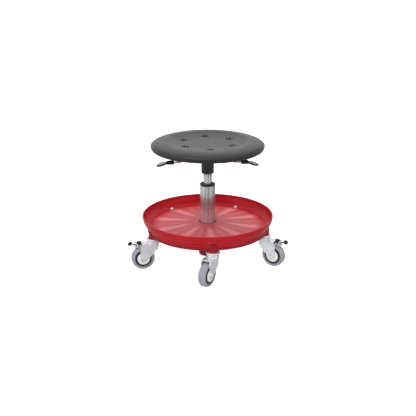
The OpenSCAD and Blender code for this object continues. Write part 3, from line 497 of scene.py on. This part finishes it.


# The tray's paler colour is a painted highlight for its floor's sheen and the flutes' reflections
TRAY_RED = dict(
    dark=(0.44, 0.006, 0.014), light=(0.51, 0.009, 0.020), pale=(0.86, 0.25, 0.27), roughness=0.34,
    rough_spread=0.10, grain=700.0, grain_depth=0.04 * MM, scuff=0.12, Specular_IOR_Level=0.22)
MOULDED = {
    "base_red": dict(
        dark=(0.25, 0.009, 0.015), light=(0.30, 0.012, 0.020), roughness=0.38, rough_spread=0.12,
        grain=600.0, grain_depth=0.05 * MM, scuff=0.10, Specular_IOR_Level=0.22),
    "black_steel": dict(
        dark=(0.012, 0.012, 0.014), light=(0.022, 0.022, 0.025), roughness=0.34, rough_spread=0.12,
        grain=900.0, grain_depth=0.03 * MM, scuff=0.2),
    "black_plastic": dict(
        dark=(0.006, 0.005, 0.007), light=(0.012, 0.010, 0.013), roughness=0.36, rough_spread=0.14,
        grain=800.0, grain_depth=0.05 * MM, scuff=0.15),
    "black_rubber": dict(
        dark=(0.012, 0.012, 0.012), light=(0.022, 0.022, 0.022), roughness=0.75, rough_spread=0.1,
        grain=500.0, grain_depth=0.1 * MM),
    "cream_plastic": dict(
        dark=(0.78, 0.76, 0.71), light=(0.86, 0.85, 0.82), roughness=0.35, rough_spread=0.1,
        grain=700.0, grain_depth=0.03 * MM, scuff=0.1),
    "grey_rubber": dict(
        dark=(0.29, 0.29, 0.34), light=(0.37, 0.37, 0.43), roughness=0.55, rough_spread=0.15,
        grain=400.0, grain_depth=0.12 * MM, scuff=0.2),
    "seat_foam": dict(
        dark=(0.013, 0.0125, 0.012), light=(0.019, 0.018, 0.017), roughness=0.35, rough_spread=0.12,
        grain=650.0, grain_depth=0.1 * MM, scuff=0.1),
}
PLATED = {
    "zinc": dict(
        dark=(0.74, 0.77, 0.80), light=(0.95, 0.96, 0.98), roughness=0.20, rough_spread=0.16,
        ripple_depth=0.3 * MM, Metallic=0.65),
    "chrome": dict(
        dark=(0.72, 0.72, 0.74), light=(0.84, 0.84, 0.86), roughness=0.17, rough_spread=0.06,
        ripple_depth=0.02 * MM, ripple=12.0, streak=0.7, Metallic=0.8),
    "bare_steel": dict(
        dark=(0.42, 0.43, 0.45), light=(0.58, 0.59, 0.60), roughness=0.30, rough_spread=0.15,
        ripple_depth=0.08 * MM),
}
FINISHES = {
    "tray_red": banded("tray_red", **TRAY_RED),
    **{name: moulded(name, **look) for name, look in MOULDED.items()},
    **{name: plated(name, **look) for name, look in PLATED.items()},
}

# Lever grips: the black plastic's values, and a painted reflection on the paddle: a round patch of paler grey
# on its upward-facing top, standing in for the bright room reflected in it
SHEEN_GRIPS = ("height_lever_grip", "tilt_lever_grip")
GRIP_GAIN = 1.8
PADDLE_SHEEN_COLOR = (0.46, 0.45, 0.43)
PADDLE_SHEEN_GAIN = 1.25
PADDLE_SHEEN_RIM = 3.2 * MM
PADDLE_SHEEN_EDGE = 0.5 * MM
PADDLE_SHEEN_FACING = (0.75, 0.85)


def grip_with_painted_sheen(grip):
    """A black grip whose paddle carries a painted reflection: a round patch of paler grey on its top.

    The painted patch is where the top faces up within the paddle's circle less its rim. The circle is the
    outer end of the grip's box, as wide as the box.
    """
    low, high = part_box(grip)
    radius = (high.y - low.y) / 2
    middle_x = high.x - radius if high.x > -low.x else low.x + radius
    middle = (middle_x, (low.y + high.y) / 2, 0.0)
    plastic = MOULDED["black_plastic"]
    made, tree, shader, where = new_material(grip)
    skin = place_skin(tree, where, plastic["roughness"], plastic["rough_spread"], plastic["grain"])
    flat = vector_math(tree, "MULTIPLY", vector_math(tree, "SUBTRACT", where, middle), (1.0, 1.0, 0.0))
    apart = vector_math(tree, "LENGTH", flat, result="Value")
    sheen_r = radius - PADDLE_SHEEN_RIM
    inside = spread(tree, apart, (sheen_r, sheen_r - PADDLE_SHEEN_EDGE))
    facing = split(tree, tree.nodes.new("ShaderNodeTexCoord").outputs["Normal"])["Z"]
    # Painted reflection: the paler patch where the paddle's top faces up
    paddle_sheen = times(tree, inside, spread(tree, facing, PADDLE_SHEEN_FACING))
    black = blend_colors(tree, skin["Mottle"], plastic["dark"], scaled(plastic["dark"], GRIP_GAIN))
    pale = blend_colors(tree, skin["Mottle"], PADDLE_SHEEN_COLOR, scaled(PADDLE_SHEEN_COLOR, PADDLE_SHEEN_GAIN))
    color = blend_colors(tree, paddle_sheen, black, pale)
    link_surface(tree, shader, color, skin["Roughness"], skin["Height"], plastic["grain_depth"])
    return made


for part in frame["record"]["subparts"]:
    mesh = NODES[part["node"]].data
    mesh.materials.clear()
    mesh.materials.append(FINISHES[part["material_slot"]])
for grip in SHEEN_GRIPS:
    NODES[grip].data.materials[0] = grip_with_painted_sheen(grip)


# Seat: one moulded foam form with a dished top, a full rim and vent holes

def seat_profile():
    """Distance and height from the underside's middle, out round the shoulder and back over the dish.

    The lower curve is a quarter oval, the shoulder a quarter of a slightly squarer one, and the dish falls
    from the shoulder's crest as z = crest - depth (1 - (r / crest radius)^power). The mould's lip is added
    to the distance as height exp(-((z - its middle) / width)^2).
    """
    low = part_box("seat_cushion")[0].z
    edge_z = low + SEAT_BELLY + UNDER_H
    crest_r = SEAT_R - SHOULDER_W
    crest_z = edge_z + SHOULDER_H
    below = np.linspace(-np.pi / 2, 0, UNDER_POINTS)
    under = np.stack([
        SEAT_R - UNDER_W + UNDER_W * np.cos(below),
        edge_z + UNDER_H * np.sin(below)], axis=-1)
    above = np.linspace(0, np.pi / 2, SHOULDER_POINTS)[1:]
    shoulder = np.stack([
        crest_r + SHOULDER_W * np.cos(above) ** (2 / SHOULDER_POWER),
        edge_z + SHOULDER_H * np.sin(above) ** (2 / SHOULDER_POWER)], axis=-1)
    inward = np.linspace(crest_r, 0, DISH_POINTS)[1:]
    fall = 1 - (inward / crest_r) ** DISH_POWER
    dish = np.stack([inward, crest_z - SEAT_DISH * fall], axis=-1)
    belly = [[0, low], [BELLY_R, low]]
    line = resample(np.vstack([belly, under, shoulder, dish]), PROFILE_STEP)
    line = relaxed(line, PROFILE_PASSES)
    line[0, 0] = 0.0
    line[-1, 0] = 0.0
    from_lip = (line[:, 1] - edge_z - LIP_RISE) / LIP_W
    line[:, 0] += LIP_H * np.exp(-from_lip ** 2) * (line[:, 0] > crest_r)
    return line


def around(middle, radius, start, count):
    """Points on a circle, the first at the start angle: (x, y) = middle + radius (cos t, sin t)."""
    turn = start + 2 * np.pi * np.arange(count) / count
    return middle + radius * np.stack([np.cos(turn), np.sin(turn)], axis=-1), turn


def vent_cutters(top_r, top_z):
    """All vent holes as one mesh, each shaft standing on the seat's surface at its own place."""
    shaft = [(share * VENT_R, height * MM) for share, height in VENT_SHAFT]
    points, faces = revolve(shaft, VENT_SIDES)
    vertices = []
    all_faces = []
    for middle, out in zip(*around(np.zeros(2), VENT_RING_R, -np.pi / 2, VENT_GROUPS)):
        ring, _ = around(middle, VENT_SPREAD, out + np.pi, VENT_HOLES)
        for x, y in (middle, *ring):
            first = len(vertices) * len(points)
            all_faces += [[corner + first for corner in face] for face in faces]
            vertices.append(points + [x, y, np.interp(math.hypot(x, y), top_r, top_z)])
    return np.vstack(vertices), all_faces


def make_seat():
    """The seat's foam: the turned profile with the vent holes cut into it, their walls painted darker as
    shade.
    """
    profile = seat_profile()
    points, faces = revolve(profile, SEAT_SIDES)
    seat = mesh_object("seat_cushion_foam", turned(points, SEAT_HEADING), faces, FINISHES["seat_foam"])
    upper = profile[np.argmax(profile[:, 1]):][::-1]
    points, faces = vent_cutters(upper[:, 0], upper[:, 1])
    # The holes' walls take the darker black plastic finish: painted shade for the dark inside of the holes
    cutter = mesh_object("vent_cutter", turned(points, SEAT_HEADING), faces, FINISHES["black_plastic"])
    cut = seat.modifiers.new("vents", "BOOLEAN")
    cut.operation = "DIFFERENCE"
    cut.solver = "EXACT"
    cut.object = cutter
    cut.material_mode = "TRANSFER"
    apply_modifiers(seat)
    bpy.data.objects.remove(cutter)
    smooth(seat.data)
    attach(seat, "seat")
    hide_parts("seat_cushion")


make_seat()


# Studio: white floor, a bright room with upright bands for the metal to show, and soft lamps

FLOOR_R = 40.0
FLOOR_INNER_R = 1.0
FLOOR_SIDES = 96
FLOOR_DROP = 0.2 * MM
FLOOR_GLOW = 0.85
FLOOR_ROUGH = 0.9
FLOOR_SHADE = (0.72, 0.75)
FLOOR_SHADE_SCALE = 3.0
FLOOR_SHADE_RANGE = (0.3, 0.7)

# place from straight down to straight up, and level
ROOM_HEIGHTS = ((0.0, 0.50), (0.40, 0.70), (0.53, 0.85), (0.70, 0.90), (1.0, 1.10))
# place round the room from the back by the left, the camera's side in the middle, and level
ROOM_BANDS = (
    (0.0, 1.1), (0.14, 0.9), (0.24, 0.8), (0.31, 1.3), (0.37, 0.8), (0.43, 0.6), (0.47, 1.1),
    (0.50, 0.7), (0.54, 0.55), (0.60, 1.1), (0.68, 0.8), (0.76, 0.5), (0.86, 0.8), (1.0, 1.1))
# how far up or down the bands begin to fade, and where they are gone: 0 level, 1 straight up or down
ROOM_FADE = (0.5, 0.95)

# name, place, the point it looks at, its width, its power in watts, and whether it shows in gloss
LAMPS = (
    ("key", (-0.9, -0.9, 2.4), (0, 0, 0.2), 1.2, 3.0, True),
    ("top", (0.2, 1.2, 2.2), (0, 0, 0.3), 1.2, 13.0, False),
    ("front", (-0.4, -2.4, 1.0), (0, 0, 0.15), 1.6, 25.0, False))


def make_floor():
    """A wide white disc, level with the wheels' lowest points. It takes shadows and lights nothing."""
    points, faces = revolve([(0, 0), (FLOOR_INNER_R, 0), (FLOOR_R, 0)], FLOOR_SIDES)
    made, tree, shader, where = new_material(
        "studio_floor", Roughness=FLOOR_ROUGH, Emission_Strength=FLOOR_GLOW, Emission_Color=WHITE)
    shade = spread(tree, noise(tree, where, FLOOR_SHADE_SCALE), FLOOR_SHADE_RANGE, FLOOR_SHADE)
    grey = node(tree, "ShaderNodeCombineColor", {"Red": shade, "Green": shade, "Blue": shade})
    tree.links.new(grey.outputs["Color"], shader.inputs["Base Color"])
    facing_up = [face[::-1] for face in faces]
    floor = mesh_object("studio_floor", points - [0, 0, FLOOR_DROP], facing_up, made)
    floor.visible_diffuse = False
    floor.visible_glossy = False


def ramp(tree, place, stops):
    """Greys along a line from 0 to 1: pairs of place and level, eased between."""
    made = node(tree, "ShaderNodeValToRGB", {"Fac": place})
    colors = made.color_ramp
    while len(colors.elements) > 1:
        colors.elements.remove(colors.elements[-1])
    colors.interpolation = "EASE"
    for k, (at, level) in enumerate(stops):
        stop = colors.elements[0] if k == 0 else colors.elements.new(at)
        stop.position = at
        stop.color = (level, level, level, 1.0)
    return made.outputs["Color"]


def make_room():
    """The world: brightest overhead, grey below, with soft upright bands for the metal to show.

    Level = height part (1 + weight (band part - 1)), and the weight fades out towards the top and the bottom.
    The camera itself sees white.
    """
    world = bpy.data.worlds.new("room")
    bpy.context.scene.world = world
    world.use_nodes = True
    tree = world.node_tree
    axes = split(tree, tree.nodes.new("ShaderNodeTexCoord").outputs["Generated"])
    height = ramp(tree, spread(tree, axes["Z"], (-1.0, 1.0)), ROOM_HEIGHTS)
    bands = ramp(tree, spread(tree, heading(tree, axes), (-math.pi, math.pi)), ROOM_BANDS)
    weight = spread(tree, math_node(tree, "ABSOLUTE", axes["Z"]), ROOM_FADE, (1.0, 0.0))
    band = plus(tree, 1.0, times(tree, weight, math_node(tree, "SUBTRACT", bands, 1.0)))
    seen = tree.nodes.new("ShaderNodeLightPath").outputs["Is Camera Ray"]
    back = next(n for n in tree.nodes if n.type == "BACKGROUND")
    tree.links.new(math_node(tree, "MAXIMUM", times(tree, height, band), seen), back.inputs["Strength"])
    back.inputs["Color"].default_value = WHITE


def add_lamp(name, place, aim, width, power, shines):
    """A round area lamp that looks from its place at its aim."""
    light = bpy.data.lights.new(name, "AREA")
    light.shape = "DISK"
    light.size = width
    light.energy = power
    lamp = bpy.data.objects.new(name, light)
    lamp.visible_glossy = shines
    bpy.context.scene.collection.objects.link(lamp)
    lamp.location = place
    x, y, z = np.array(aim) - np.array(place)
    lamp.rotation_euler = (math.atan2(math.hypot(x, y), -z), 0.0, math.atan2(y, x) - math.pi / 2)


def make_camera():
    """The camera on its circle round the column, level from side to side."""
    data = bpy.data.cameras.new("camera")
    data.lens = CAMERA_LENS
    data.sensor_width = SENSOR_W
    data.shift_x, data.shift_y = CAMERA_SHIFT
    camera = bpy.data.objects.new("camera", data)
    bpy.context.scene.collection.objects.link(camera)
    turn = math.radians(CAMERA_HEADING)
    camera.location = (-CAMERA_DISTANCE * math.sin(turn), -CAMERA_DISTANCE * math.cos(turn), CAMERA_HEIGHT)
    camera.rotation_euler = (math.radians(90 - CAMERA_PITCH), 0.0, -turn)
    bpy.context.scene.camera = camera


make_floor()
make_room()
for lamp in LAMPS:
    add_lamp(*lamp)
make_camera()
bpy.context.scene.view_settings.view_transform = "Standard"
